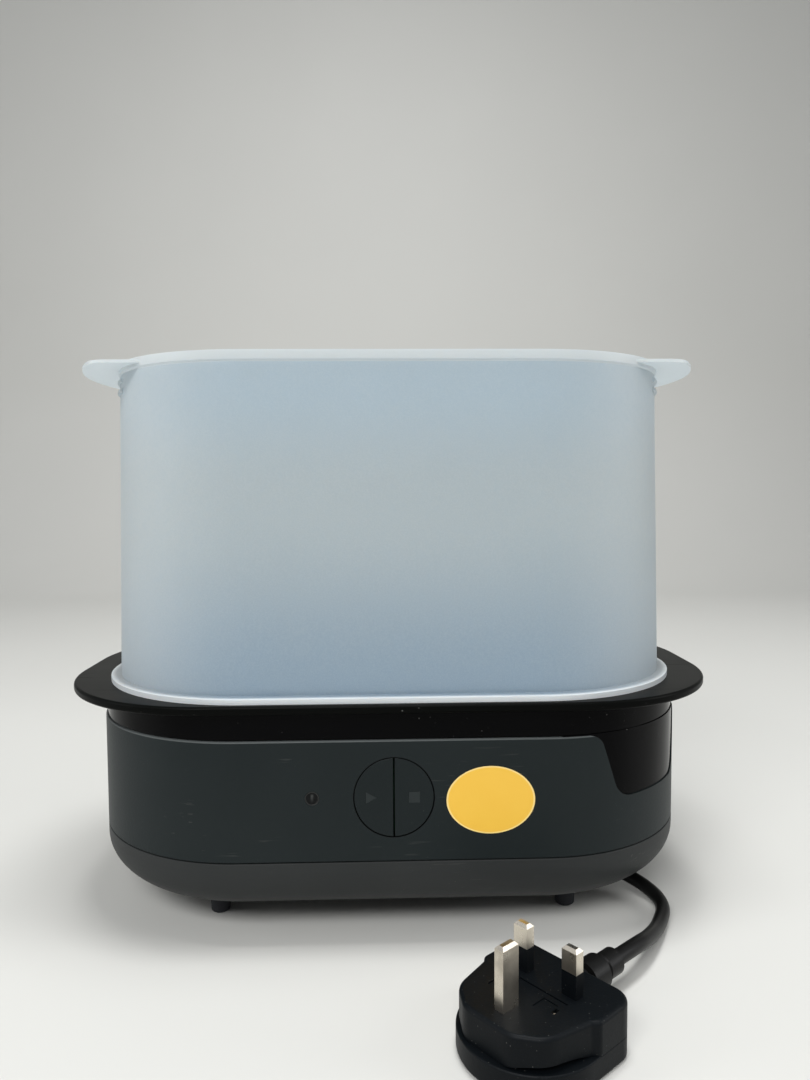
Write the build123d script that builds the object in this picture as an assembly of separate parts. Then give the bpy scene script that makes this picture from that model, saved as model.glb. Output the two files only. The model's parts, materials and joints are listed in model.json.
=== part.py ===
from build123d import *
import os
from math import asin, atan2, cos, degrees, hypot, pi, radians, sin, tan

# An electric steam steriliser for baby bottles, standing on its feet with its chamber on.
# Millimetres, +Z up. Origin: on the counter under the middle of the base. Front is -Y.

# ---- Base, seen from above ----
base_half_x = 143.9
base_half_y = 87.2
base_flat = 11.0  # half the straight part of each end
shell_wall = 2.5

# ---- Base, heights ----
bottom_z = 10.0  # underside of the base, held off the counter by the feet
curve_top_z = 34.0  # where the curved underside turns upright
curve_depth = 36.0  # how far in the curve reaches
seam_z = 38.7  # parting line between the two shells
seam_gap = 0.5
seam_fit = 0.2
tongue_height = 1.7
tongue_width = 1.2
panel_top_z = 92.1
deck_under_z = 104.7
deck_thickness = 4.0
deck_top_z = deck_under_z + deck_thickness
edge_round = 0.8
seam_round = 0.4

# ---- Gloss collar between panel and deck ----
collar_inset = 1.0  # collar face behind the panel face
collar_wall = 2.4
collar_fit = 0.3  # between the collar's spigot and the panel's back
collar_step_gap = 0.5  # shadow line over the panel
ledge_rise = 1.0  # of the collar's ledge over the buttons' guide
ledge_width = 3.5
ledge_height = 2.0

# ---- Lobe of the collar, on the front right corner ----
lobe_top_half = 35.0
lobe_bottom_half = 25.5
lobe_drop = 29.7  # of its lower edge under the panel's top
lobe_corner = 10.0
lobe_flare = 7.0
lobe_gap = 0.35
lobe_inset = 0.5
lobe_wall = 2.2

# ---- Deck: flange and water well ----
deck_over_x = 13.9  # how far the flange stands out past the base
deck_over_y = 4.8
deck_flat = 14.1
deck_edge_round = 1.3
cup_clear_x = 6.0  # between the well's outside and the ledge in the panel
cup_clear_y = 0.2
well_flat = 12.6
well_floor_z = 88.5
well_wall = 2.4
well_fillet = 3.0
post_radius = 4.2
post_inset_x = 79.9  # from the end of the base
post_inset_y = 41.2  # from its front or back
post_joint_z = 50.0
screw_grip = 12.0

# ---- Heating plate and what hangs under it ----
plate_hole = 44.0
plate_rim = 50.0
plate_dome = 42.5
plate_thickness = 1.8
plate_sink = 0.2  # of the plate's top under the well's floor
seal_thickness = 1.0
seal_inner = 44.6
spreader_radius = 39.0
spreader_thickness = 3.0
element_radius = 31.0
element_width = 7.0
element_height = 6.0
element_mouth = 31.0  # between its two ends
pin_radius = 2.0
pin_drop = 9.0
tab_width = 6.3
tab_thickness = 0.8
tab_drop = 8.0
clamp_inner = 46.5
clamp_outer = 53.0
clamp_thickness = 1.5
clamp_ear_radius = 55.0
clamp_ear_half = 5.0
clamp_boss_radius = 4.0
thermostat_cap = 9.0
thermostat_body = 8.0
thermostat_cap_height = 2.5
thermostat_height = 11.0
thermostat_blade_x = 4.0
fuse_radius = 2.0
fuse_length = 11.0
fuse_y = 19.0
clip_thickness = 0.6
clip_width = 7.0

# ---- Controls on the front panel ----
control_rise = 1.6  # of the buttons' centre over the middle of the panel
button_radius = 17.3
button_gap = 0.3
button_split = 0.5
button_flange = 1.4
button_flange_thickness = 1.2
button_travel = 1.2
button_round = 0.4
guide_wall = 2.0
guide_depth = 3.1  # of the guide round the buttons, behind the panel
board_post = 3.2
button_stem = 2.5
stem_length = 2.5
plunger_radius = 1.75
plunger_fit = 0.08
switch_half = 3.1
switch_depth = 4.0
switch_offset = 8.5  # of each switch from the split
indicator_x = -35.4
indicator_radius = 3.0
indicator_fit = 0.15
lens_flange = 1.2
led_radius = 1.5
board_half_x = 48.0
board_drop = 21.0
board_rise = 15.0
board_thickness = 1.6
board_standoff = 9.7  # of the board behind the panel
board_margin = 4.5
relay_x = -40.0
relay_drop = 15.0  # of its lower edge under the buttons' centre
relay_size = (19.0, 15.5, 15.5)
capacitor_x = 38.0
capacitor_rise = 3.0
capacitor_radius = 5.0
capacitor_length = 15.4
transformer_x = -10.0
transformer_drop = 17.0
transformer_size = (28.0, 22.0, 24.0)
coil_margin = 5.0
coil_bulge = 4.5
sticker_x = 42.0
sticker_drop = 1.7
sticker_half_x = 19.3
sticker_half_z = 14.9
sticker_thickness = 0.2

# ---- Cord store under the base ----
cord_diameter = 6.5
cord_corners = (  # of the free cord, from the channel to the plug
    (88.0, -17.5, 14.6),
    (102.5, -33.5, 12.3),
    (117.0, -45.5, 9.3),
    (125.4, -58.5, 6.2),
    (124.6, -73.5, 3.9),
    (115.8, -86.0, 3.5),
    (106.5, -99.5, 5.5),
)
cord_straight = 31.5  # run of the free cord along the channel
relief_run = 15.0  # run of the cord in line with the plug
bend_share = 0.45  # of the shorter run at each corner that its bend takes up
cord_pitch = 7.3
cord_turns = 3
first_turn = 29.0  # from the hub's centre to the first turn of cord
entry_bend = 16.0
store_depth = 10.5
store_margin = 1.6
hub_clearance = 0.45
hub_floor = 1.0
exit_angle = 44.3  # where the last turn lets go, seen from above
channel_width = 10.0
notch_x = 115.0
notch_y = -45.0
grommet_neck = 4.2
grommet_flange = 5.2
grommet_lip = 0.6
grommet_length = 8.0
flange_depth = 2.0

terminal_x = -50.0
terminal_y = 6.0
terminal_ways = 3
terminal_pitch = 9.0
terminal_depth = 14.0
terminal_height = 13.0
terminal_screw = 2.2
clamp_bar_x = -25.0
clamp_bar_y = -33.0
clamp_bar_half = 13.0
clamp_bar_width = 10.0
clamp_bar_height = 8.0
clamp_bar_screw = 9.0  # of each screw from the middle of the saddle

# ---- Feet and screws ----
foot_inset_x = 61.2  # from the end of the base
foot_inset_y = 36.6  # from its front or back
foot_radius = 4.9
foot_taper = 0.4
foot_round = 1.2
foot_stem = 2.4
foot_head = 3.4
foot_head_height = 1.6
foot_pad = 6.5
pad_drop = 0.4
pad_rise = 4.0  # of the pad's top over the underside, above the curve of the wall
screw_head = 3.0
screw_head_height = 2.2
screw_bite = 2.0
shank_radius = 1.45

# ---- Chamber: frosted sleeve that stands on the deck ----
chamber_wall = 2.2
corner_ease_x = 1.0  # how much tighter its corners are than the well's
corner_ease_y = 0.9
wall_taper = 2.9
rim_band = 0.8
rim_height = 4.0
chamber_height = 150.8
foot_ring_width = 4.7
foot_ring_height = 2.3
shoulder_height = 0.6
wall_step = 6.5  # of the wall's foot out from the spigot
spigot_depth = 5.0
spigot_fit = 0.6
spigot_wall = 2.0
ear_reach = 19.0
ear_half = 64.0
ear_arc = 114.0
ear_thickness = 1.4
ear_drop = 1.3  # of the ears' top under the rim
ear_round = 12.0
ear_blend = 5.0
ear_root = 0.6  # how far inside the rim's face the ears' plate starts
bead_half = 46.0
bead_radius = 1.1
bead_low = 12.7  # of the lower bead under the rim
bead_high = 7.9

# ---- Bottle rack, standing in the well ----
rack_fit = 6.0  # to the inside of the chamber's spigot
rack_leg_height = 8.5
rack_thickness = 2.2
rack_depth = 10.2
rack_wall = 2.0
rack_leg = 4.0
rack_leg_taper = 1.0
rack_corner_depth = 2.0
rack_leg_inset_x = 20.9
rack_leg_inset_y = 19.9
slot_length = 24.0
slot_width = 5.0
slot_margin_x = 16.0  # kept clear of slots at the ends
slot_margin_y = 26.0
slot_pitch_x = 30.0
slot_pitch_y = 13.0
grip_half = 17.0
grip_height = 9.0

# ---- Three-pin plug, lying on its back ----
plug_x = 37.4
plug_y = -161.4
plug_turn = 39.7  # direction from the earth pin to the cord
plug_face_z = 20.9
cover_height = 9.0
grip_reach = 13.8  # of the round grip beyond the earth pin
grip_round = 0.6
slit_height = 2.4  # of each finger slit at its middle
slit_front = (-10.8, 6.7)
slit_back = (15.8, 24.6)
slit_neck = 22.0  # radius of what is left between the slits
plug_tail = 38.3
plug_half = 26.8  # of the block that the cord comes out of
plug_tail_round = 8.0
plug_outline_points = ((-10.6, 10.5), (-3.2, 20.8), (15.0, 24.8), (17.5, plug_half))
plug_outline_radii = (9.0, 12.0, 2.5, 2.5)
plug_face_round = 1.5
plug_cover_round = 2.0
pin_pitch = 22.2
earth_wide = 8.0
live_wide = 6.35
pin_thick = 4.0
earth_length = 22.7
live_length = 17.7
sleeve_length = 9.0
sleeve_skin = 0.55
pin_root = 6.0
pin_chamfer = 1.1
carrier_u = 10.9
carrier_half_u = 5.6
carrier_half_v = 13.4
carrier_depth = 8.5
carrier_fit = 0.2
carrier_sink = 0.4
fuse_link_radius = 3.15
fuse_link_length = 25.4
fuse_link_cover = 0.8
lever_width = 3.0
lever_depth = 2.0
label_half = 3.2  # of the square sunk in the carrier's face
label_v = -8.2
label_depth = 0.4
relief_z = 12.2
relief_bands = ((0, 3.8, 6.7), (5.6, 15.4, 6.7), (17.2, 25.7, 5.2))  # start, end and radius
relief_length = relief_bands[-1][1]
relief_root = 4.6
relief_chamfer = 0.5

slack = 0.3  # gap left round the cord where it passes close to something
boss_bore = 0.35  # how much a screw boss is bored wider than the shank


# ---- Shared shapes ----
def slab(half_x, half_y, corner, low, high):
    outline = RectangleRounded(2 * half_x, 2 * half_y, corner)
    return extrude(Pos(0, 0, low) * outline, amount=high - low)


def rod(x, y, radius, low, high):
    return Pos(x, y, (low + high) / 2) * Cylinder(radius, high - low)


def across(x, z, radius, front, back):
    """A rod along Y, from the plane y = front to the plane y = back."""
    return Pos(x, (front + back) / 2, z) * Rot(90, 0, 0) * Cylinder(radius, back - front)


def block(x0, x1, y0, y1, z0, z1):
    middle = Pos((x0 + x1) / 2, (y0 + y1) / 2, (z0 + z1) / 2)
    return middle * Box(x1 - x0, y1 - y0, z1 - z0)


def corner_plane(core_x, core_y, quarter):
    """Upright plane through the centre of one rounded corner, looking along the wall."""
    signs = [(1, -1), (1, 1), (-1, 1), (-1, -1)][quarter]
    turn = radians(90 * quarter - 90)
    origin = (signs[0] * core_x, signs[1] * core_y, 0)
    return Plane(origin=origin, x_dir=(cos(turn), sin(turn), 0), z_dir=(sin(turn), -cos(turn), 0))


def around(section, core_x, core_y):
    """Carry a wall section round a rounded rectangle. Section: x from the corner's centre, y up."""
    result = None
    for quarter in range(4):
        start = corner_plane(core_x, core_y, quarter)
        turned = revolve(start * section, Axis(start.origin, (0, 0, 1)), 90)
        run = 2 * (core_y if quarter % 2 == 0 else core_x)
        end = Plane(origin=start.origin, x_dir=-start.z_dir, z_dir=start.x_dir)
        straight = extrude(end * section, amount=run, dir=start.x_dir * -1)
        piece = turned + straight
        result = piece if result is None else result + piece
    return result


def mirrored_xy(x, y):
    return [(sx * x, sy * y) for sx in (-1, 1) for sy in (-1, 1)]


# ---- Base shells ----
base_corner = base_half_y - base_flat
core_x = base_half_x - base_corner
core_y = base_flat
control_z = (seam_z + panel_top_z) / 2 + control_rise
post_x = base_half_x - post_inset_x
post_y = base_half_y - post_inset_y
foot_x = base_half_x - foot_inset_x
foot_y = base_half_y - foot_inset_y
store_top_z = bottom_z + store_depth
roof_z = store_top_z + shell_wall  # floor that the mains entry stands on
store_z = bottom_z + store_depth / 2
shell_top_z = seam_z - seam_gap / 2
tongue_top_z = seam_z + tongue_height
panel_bottom_z = seam_z + seam_gap / 2
entry_centre = first_turn - entry_bend
entry_wall_x = entry_centre - grommet_length - cord_diameter
entry_inner = entry_bend - grommet_neck - slack
hub_radius = first_turn - cord_diameter / 2 - hub_clearance
last_turn = first_turn + cord_turns * cord_pitch
store_radius = last_turn + cord_diameter / 2 + store_margin
store_frame = Rot(0, 0, exit_angle)  # +x points from the hub to where the last turn lets go
shank_bore = shank_radius + boss_bore
saddle_screw_points = [
    (clamp_bar_x + side * clamp_bar_screw, clamp_bar_y + clamp_bar_width / 2) for side in (-1, 1)
]


def base_slab(inset, low, high):
    return slab(base_half_x - inset, base_half_y - inset, base_corner - inset, low, high)


def underside_curve(inset):
    """Quarter ellipse that turns the wall in under the base."""
    centre = (base_corner - curve_depth, curve_top_z)
    return EllipticalCenterArc(
        centre, curve_depth - inset, curve_top_z - bottom_z - inset, start_angle=270, arc_size=90
    )


def underside_section():
    """Upright wall with its tongue on top and the curve below."""
    outer = underside_curve(0)
    inner = underside_curve(shell_wall)
    back_x = base_corner - shell_wall
    upright = Polyline(
        outer @ 1,
        (base_corner, shell_top_z),
        (back_x + tongue_width, shell_top_z),
        (back_x + tongue_width, tongue_top_z),
        (back_x, tongue_top_z),
        inner @ 1,
    )
    shape = make_face(outer + upright + inner + Line(inner @ 0, outer @ 0))
    seam = [v for v in shape.vertices() if v.X > base_corner - 0.01 and v.Y > shell_top_z - 0.01]
    return fillet(seam, seam_round)


def inside_of_curve():
    """The whole space inside the outer face of the curved underside."""
    outer = underside_curve(0)
    edge = Polyline(outer @ 1, (base_corner - curve_depth, curve_top_z), outer @ 0)
    rim = around(make_face(outer + edge), core_x, core_y)
    return rim + base_slab(curve_depth, bottom_z, curve_top_z)


def channel(width, top):
    """Round-topped way for the cord from the store out through the edge of the base."""
    reach = Vector(notch_x, notch_y).length + curve_depth
    crown_z = top - width / 2
    crown = Pos(last_turn, -reach / 2, crown_z) * Rot(90, 0, 0) * Cylinder(width / 2, reach)
    legs = block(last_turn - width / 2, last_turn + width / 2, -reach, 0, 0, crown_z)
    return store_frame * (crown + legs)


def hub_outline(inset):
    """Round hub with a bite out of it where the cord comes out and bends round it."""
    keep = entry_inner - inset
    far = 2 * hub_radius
    width = entry_centre - entry_wall_x + inset
    straight = Pos(entry_centre - width / 2, keep + far / 2) * Rectangle(width, far)
    swing = Pos(entry_centre + far / 2, far / 2) * Rectangle(far, far)
    swing -= Pos(entry_centre, 0) * Circle(keep)
    return Circle(hub_radius - inset) - straight - swing


def lower_shell():
    body = around(underside_section(), core_x, core_y)
    body += base_slab(curve_depth, bottom_z, bottom_z + shell_wall)
    for x, y in mirrored_xy(foot_x, foot_y):
        body += rod(x, y, foot_pad, bottom_z - pad_drop, bottom_z + pad_rise)
    for x, y in mirrored_xy(post_x, post_y):
        body += rod(x, y, post_radius, bottom_z, post_joint_z)
    roof = rod(0, 0, store_radius + shell_wall, bottom_z, roof_z)
    roof += channel(channel_width + 2 * shell_wall, roof_z)
    body += roof & inside_of_curve()
    body -= rod(0, 0, store_radius, 0, store_top_z)
    body -= channel(channel_width, store_top_z)
    body += store_frame * extrude(Pos(0, 0, bottom_z) * hub_outline(0), amount=store_depth)
    inside = Pos(0, 0, bottom_z + hub_floor) * hub_outline(shell_wall)
    body -= store_frame * extrude(inside, amount=roof_z - bottom_z - hub_floor)
    for x, y in mirrored_xy(foot_x, foot_y):
        body -= rod(x, y, foot_stem, 0, curve_top_z)
    for x, y in mirrored_xy(post_x, post_y):
        body -= rod(x, y, shank_bore, 0, post_joint_z)
        body -= rod(x, y, screw_head + slack, 0, bottom_z + screw_head_height)
    for x, y in saddle_screw_points:
        body -= rod(x, y, shank_radius, roof_z - screw_bite, roof_z)
    return body - along_entry(grommet_neck, entry_wall_x - 2 * shell_wall, entry_wall_x + slack)


def along_entry(radius, x0, x1):
    """A rod along the cord where it comes out of the hub."""
    middle = Pos((x0 + x1) / 2, entry_bend, store_z) * Rot(0, 90, 0)
    return store_frame * middle * Cylinder(radius, x1 - x0)


def cord_grommet():
    """Moulded sleeve on the cord, held in the hub's wall by a flat-bottomed flange inside."""
    neck = along_entry(grommet_neck, entry_wall_x - shell_wall, entry_wall_x)
    inner = along_entry(
        grommet_flange, entry_wall_x - shell_wall - flange_depth, entry_wall_x - shell_wall
    )
    inner &= slab(hub_radius, hub_radius, slack, store_z - grommet_neck, roof_z)
    sleeve = store_frame * (
        Pos(entry_wall_x + grommet_length / 2, entry_bend, store_z)
        * Rot(0, 90, 0)
        * Cone(grommet_neck, cord_diameter / 2 + grommet_lip, grommet_length)
    )
    return neck + inner + sleeve


# ---- Panel, collar and deck ----
panel_back_y = -base_half_y + shell_wall
guide_bore = button_radius + button_flange + slack
guide_y = panel_back_y + guide_depth
collar_ledge_z = control_z + guide_bore + guide_wall + ledge_rise
lobe_bottom_z = panel_top_z - lobe_drop
board_y = panel_back_y + board_standoff
board_low_z = control_z - board_drop
board_high_z = control_z + board_rise
board_points = [
    (x, z)
    for x in (-board_half_x + board_margin, board_half_x - board_margin)
    for z in (board_low_z + board_margin, board_high_z - board_margin)
]
deck_half_x = base_half_x + deck_over_x
deck_half_y = base_half_y + deck_over_y
deck_corner = deck_half_y - deck_flat
well_half_x = base_half_x - shell_wall - ledge_width - cup_clear_x - well_wall
well_half_y = base_half_y - shell_wall - ledge_width - cup_clear_y - well_wall
well_corner = well_half_y - well_flat
lobe_plane = Plane(
    origin=(core_x, -core_y, 0), x_dir=(cos(pi / 4), sin(pi / 4), 0), z_dir=(1, -1, 0)
)


def lobe_outline(shrink):
    """Bell-shaped notch in the panel, seen square to the corner. x along the panel, y up."""
    flank = (lobe_top_half - lobe_bottom_half) / (panel_top_z - lobe_bottom_z)
    low = lobe_bottom_half - shrink
    high = lobe_top_half - shrink + flank * shrink
    wide = lobe_top_half + 2 * lobe_flare
    bottom_y = lobe_bottom_z + shrink
    right = [(0, bottom_y), (low, bottom_y), (high, panel_top_z), (wide, panel_top_z)]
    right += [(wide, deck_under_z), (0, deck_under_z)]
    left = [(-x, y) for x, y in reversed(right[1:-1])]
    shape = Polygon(*right, *left, align=None)
    feet = [v for v in shape.vertices() if abs(v.Y - bottom_y) < 0.01 and abs(v.X) > 1]
    shape = fillet(feet, lobe_corner - shrink)
    necks = [v for v in shape.vertices() if abs(v.Y - panel_top_z) < 0.01 and abs(v.X) < wide - 1]
    return fillet(necks, lobe_flare + shrink)


def lobe_prism(shrink):
    """The notch's outline pushed out through the front right corner, square to it."""
    return extrude(lobe_plane * lobe_outline(shrink), amount=2 * base_corner)


def panel_section():
    """Upright wall with a rebate for the tongue, a rounded top edge and the collar's ledge."""
    back_x = base_corner - shell_wall
    tongue_x = back_x + tongue_width + seam_fit
    ledge_x = back_x - ledge_width
    points = [
        (tongue_x, panel_bottom_z),
        (base_corner, panel_bottom_z),
        (base_corner, panel_top_z),
        (back_x, panel_top_z),
        (back_x, collar_ledge_z),
        (ledge_x, collar_ledge_z),
        (ledge_x, collar_ledge_z - ledge_height),
        (back_x, collar_ledge_z - ledge_height - ledge_width),
        (back_x, tongue_top_z),
        (tongue_x, tongue_top_z),
    ]
    shape = Polygon(*points, align=None)
    face = shape.vertices().filter_by(lambda v: v.X > base_corner - 0.01).sort_by(Axis.Y)
    shape = fillet(face[-1], edge_round)
    foot = shape.vertices().filter_by(lambda v: v.X > base_corner - 0.01).sort_by(Axis.Y)[0]
    return fillet(foot, seam_round)


def upper_shell():
    body = around(panel_section(), core_x, core_y)
    body -= lobe_prism(0)
    body += across(0, control_z, guide_bore + guide_wall, panel_back_y, guide_y)
    body -= across(0, control_z, button_radius + button_gap, -base_half_y - 1, panel_back_y)
    body -= across(0, control_z, guide_bore, panel_back_y, guide_y)
    lens_hole = indicator_radius + indicator_fit
    body -= across(indicator_x, control_z, lens_hole, -base_half_y - 1, panel_back_y)
    for x, z in board_points:
        body += across(x, z, board_post, panel_back_y, board_y)
        body -= across(x, z, shank_radius, panel_back_y + 1, board_y)
    return body


def collar_section():
    """Band that shows above the panel, stepped in to a spigot that stands on the ledge."""
    face_x = base_corner - collar_inset
    spigot_x = base_corner - shell_wall - collar_fit
    back_x = spigot_x - collar_wall
    step_z = panel_top_z + collar_step_gap
    points = [
        (spigot_x, collar_ledge_z),
        (spigot_x, step_z),
        (face_x, step_z),
        (face_x, deck_under_z),
        (face_x - collar_wall, deck_under_z),
        (face_x - collar_wall, step_z + collar_wall),
        (back_x, step_z + collar_wall),
        (back_x, collar_ledge_z),
    ]
    return Polygon(*points, align=None)


def gloss_collar():
    body = around(collar_section(), core_x, core_y)
    face_x = base_corner - lobe_inset
    skin = slab(
        core_x + face_x, core_y + face_x, face_x, lobe_bottom_z, panel_top_z + collar_step_gap
    )
    back_x = face_x - lobe_wall
    skin -= slab(core_x + back_x, core_y + back_x, back_x, 0, deck_top_z)
    tongue = skin & lobe_prism(lobe_gap)
    return body + tongue


def top_deck():
    """Flange with a rounded edge, the water well sunk in it and posts for the base screws."""
    flange = slab(deck_half_x, deck_half_y, deck_corner, deck_under_z, deck_top_z)
    rims = flange.edges().group_by(Axis.Z)
    flange = fillet(rims[0] + rims[-1], deck_edge_round)
    cup = slab(
        well_half_x + well_wall,
        well_half_y + well_wall,
        well_corner + well_wall,
        well_floor_z - well_wall,
        deck_under_z + 1,
    )
    well = slab(well_half_x, well_half_y, well_corner, well_floor_z, deck_top_z + 1)
    well = fillet(well.edges().group_by(Axis.Z)[0], well_fillet)
    body = flange + cup - well
    under_z = well_floor_z - well_wall
    for x, y in mirrored_xy(post_x, post_y):
        body += rod(x, y, post_radius, post_joint_z, under_z)
        body -= rod(x, y, shank_radius, post_joint_z, post_joint_z + screw_grip)
    for x, y in clamp_points:
        body += rod(x, y, clamp_boss_radius, clamp_top_z, under_z)
        body -= rod(x, y, shank_radius, clamp_top_z, under_z)
    return body - rod(0, 0, plate_hole, 0, well_floor_z + 1)


# ---- Heating plate group ----
under_z = well_floor_z - well_wall
rim_top_z = under_z - seal_thickness
clamp_top_z = rim_top_z - plate_thickness
plate_top_z = well_floor_z - plate_sink
spreader_top_z = plate_top_z - plate_thickness
spreader_under_z = spreader_top_z - spreader_thickness
element_under_z = spreader_under_z - element_height
clamp_points = [
    (clamp_ear_radius * cos(radians(a)), clamp_ear_radius * sin(radians(a)))
    for a in (45, 135, 225, 315)
]


def heating_plate():
    """Pressed steel dish: a raised middle in the water and a rim under the deck."""
    t = plate_thickness
    points = [
        (0, plate_top_z),
        (plate_dome, plate_top_z),
        (plate_dome, rim_top_z),
        (plate_rim, rim_top_z),
        (plate_rim, rim_top_z - t),
        (plate_dome - t, rim_top_z - t),
        (plate_dome - t, plate_top_z - t),
        (0, plate_top_z - t),
    ]
    section = Polygon(*points, align=None)
    shoulder = [v for v in section.vertices() if v.Y > plate_top_z - 0.01 and v.X > 1]
    return revolve(Plane.XZ * fillet(shoulder, t / 2), Axis.Z, 360)


def ring(inner, outer, low, high):
    return rod(0, 0, outer, low, high) - rod(0, 0, inner, low, high)


def plate_seal():
    return ring(seal_inner, plate_rim, rim_top_z, under_z)


def heat_spreader():
    return rod(0, 0, spreader_radius, spreader_under_z, spreader_top_z)


def heating_element():
    """Flattened tube bent to most of a circle, with a cold pin and a blade at each end."""
    half_mouth = asin(element_mouth / 2 / element_radius)
    centre_line = CenterArc(
        (0, 0), element_radius, 270 + degrees(half_mouth), 360 - 2 * degrees(half_mouth)
    )
    band = Circle(element_radius + element_width / 2) - Circle(element_radius - element_width / 2)
    spread = 2 * element_radius * tan(half_mouth)
    far = 2 * element_radius
    mouth = Polygon((0, 0), (spread, -far), (-spread, -far), align=None)
    track = band - mouth
    for t in (0, 1):
        end = centre_line @ t
        track += Pos(end.X, end.Y) * Circle(element_width / 2)
    body = extrude(Pos(0, 0, element_under_z) * track, amount=element_height)
    for t in (0, 1):
        end = centre_line @ t
        body += rod(end.X, end.Y, pin_radius, element_under_z - pin_drop, element_under_z)
        low = element_under_z - pin_drop
        body += block(
            end.X - tab_thickness / 2,
            end.X + tab_thickness / 2,
            end.Y - tab_width / 2,
            end.Y + tab_width / 2,
            low - tab_drop,
            low,
        )
    return body


def plate_clamp():
    """Pressed ring with four ears that pulls the plate's rim up against its seal."""
    body = ring(clamp_inner, clamp_outer, clamp_top_z - clamp_thickness, clamp_top_z)
    for x, y in clamp_points:
        body += rod(x, y, clamp_ear_half, clamp_top_z - clamp_thickness, clamp_top_z)
    body -= rod(0, 0, clamp_inner, 0, clamp_top_z)
    for x, y in clamp_points:
        body -= rod(x, y, shank_bore, 0, clamp_top_z)
    return body


def screw(x, y, head_top, head_height, tip):
    """Pan-head screw driven upwards."""
    head = rod(x, y, screw_head, head_top - head_height, head_top)
    return head + rod(x, y, shank_radius, head_top, tip)


def clamp_screws():
    top = clamp_top_z - clamp_thickness
    return [screw(x, y, top, screw_head_height, under_z - slack) for x, y in clamp_points]


def thermostat():
    """Snap-disc thermostat: metal cap on the spreader, body and two blades below."""
    cap_z = spreader_under_z - thermostat_cap_height
    low = cap_z - thermostat_height
    body = rod(0, 0, thermostat_cap, cap_z, spreader_under_z)
    body += rod(0, 0, thermostat_body, low, cap_z)
    half_x = tab_thickness / 2
    half_y = tab_width / 2
    for x in (-thermostat_blade_x, thermostat_blade_x):
        body += block(x - half_x, x + half_x, -half_y, half_y, low - tab_drop, low)
    return body


def thermal_fuse():
    z = spreader_under_z - fuse_radius
    return Pos(0, fuse_y, z) * Rot(0, 90, 0) * Cylinder(fuse_radius, fuse_length)


def fuse_clip():
    """Spring strap that holds the fuse up against the spreader."""
    z = spreader_under_z - fuse_radius
    outer = fuse_radius + clip_thickness
    sides = Pos(fuse_y, z + fuse_radius / 2)
    strap = Pos(fuse_y, z) * (Circle(outer) - Pos(0, outer) * Rectangle(2 * outer, 2 * outer))
    strap += sides * Rectangle(2 * outer, fuse_radius)
    foot_z = spreader_under_z - clip_thickness / 2
    strap += Pos(fuse_y, foot_z) * Rectangle(2 * outer + clip_width, clip_thickness)
    strap -= Pos(fuse_y, z) * Circle(fuse_radius) + sides * Rectangle(2 * fuse_radius, fuse_radius)
    return extrude(Plane.YZ * strap, amount=clip_width / 2, both=True)


# ---- Controls ----
flange_back_y = panel_back_y + button_flange_thickness
plunger_front_y = flange_back_y + stem_length
plunger_back_y = board_y - button_travel - slack
board_back_y = board_y + board_thickness


def half_disc(side, radius, front, back):
    """One half of the round button, on the given side of the split."""
    near = side * button_split / 2
    far = side * 2 * radius
    low = control_z - radius
    half = block(min(near, far), max(near, far), front, back, low, control_z + radius)
    return across(0, control_z, radius, front, back) & half


def button(side):
    """Half disc flush with the panel, a flange behind the panel and a stem to the switch."""
    face = half_disc(side, button_radius, -base_half_y, panel_back_y)
    body = fillet(face.edges().group_by(Axis.Y)[0], button_round)
    body += half_disc(side, button_radius + button_flange, panel_back_y, flange_back_y)
    x = side * switch_offset
    return body + across(x, control_z, button_stem, flange_back_y, plunger_front_y)


def plunger(side):
    """The switch's own pin, which the stem pushes into the housing."""
    x = side * switch_offset
    return across(x, control_z, plunger_radius, plunger_front_y, plunger_back_y)


def switch(side):
    x = side * switch_offset
    low = control_z - switch_half
    front_y = board_y - switch_depth
    body = block(x - switch_half, x + switch_half, front_y, board_y, low, low + 2 * switch_half)
    return body - across(x, control_z, plunger_radius + plunger_fit, front_y, board_y)


def control_board():
    half = board_half_x
    body = block(-half, half, board_y, board_back_y, board_low_z, board_high_z)
    for x, z in board_points:
        body -= across(x, z, shank_bore, board_y, board_back_y)
    return body


def board_screws():
    solids = []
    head_y = board_back_y + screw_head_height
    tip_y = board_y - screw_bite * 3
    for x, z in board_points:
        shank = across(x, z, shank_radius, tip_y, board_back_y)
        solids.append(shank + across(x, z, screw_head, board_back_y, head_y))
    return solids


def indicator_lens():
    """Clear light pipe, flush with the panel, held by a flange behind it."""
    body = across(indicator_x, control_z, indicator_radius, -base_half_y, panel_back_y)
    flange = indicator_radius + lens_flange
    return body + across(indicator_x, control_z, flange, panel_back_y, flange_back_y)


def indicator_led():
    """Round-nosed lamp on the board, just behind the light pipe."""
    nose_y = flange_back_y + slack + led_radius
    body = across(indicator_x, control_z, led_radius, nose_y, board_y)
    return body + Pos(indicator_x, nose_y, control_z) * Sphere(led_radius)


def relay():
    length, depth, height = relay_size
    back_y = board_back_y + depth
    low = control_z - relay_drop
    return block(relay_x, relay_x + length, board_back_y, back_y, low, low + height)


def capacitor():
    """Round can standing off the back of the board."""
    back_y = board_back_y + capacitor_length
    z = control_z + capacitor_rise
    return across(capacitor_x, z, capacitor_radius, board_back_y, back_y)


def transformer():
    """Small mains transformer: a laminated core with its winding bulging out behind."""
    length, depth, height = transformer_size
    x, z = transformer_x, control_z - transformer_drop
    back_y = board_back_y + depth
    core = block(x, x + length, board_back_y, back_y, z, z + height)
    m = coil_margin
    coil = block(x + m, x + length - m, back_y, back_y + coil_bulge, z + m, z + height - m)
    return core + fillet(coil.edges().filter_by(Axis.Y), coil_bulge / 2)


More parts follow.
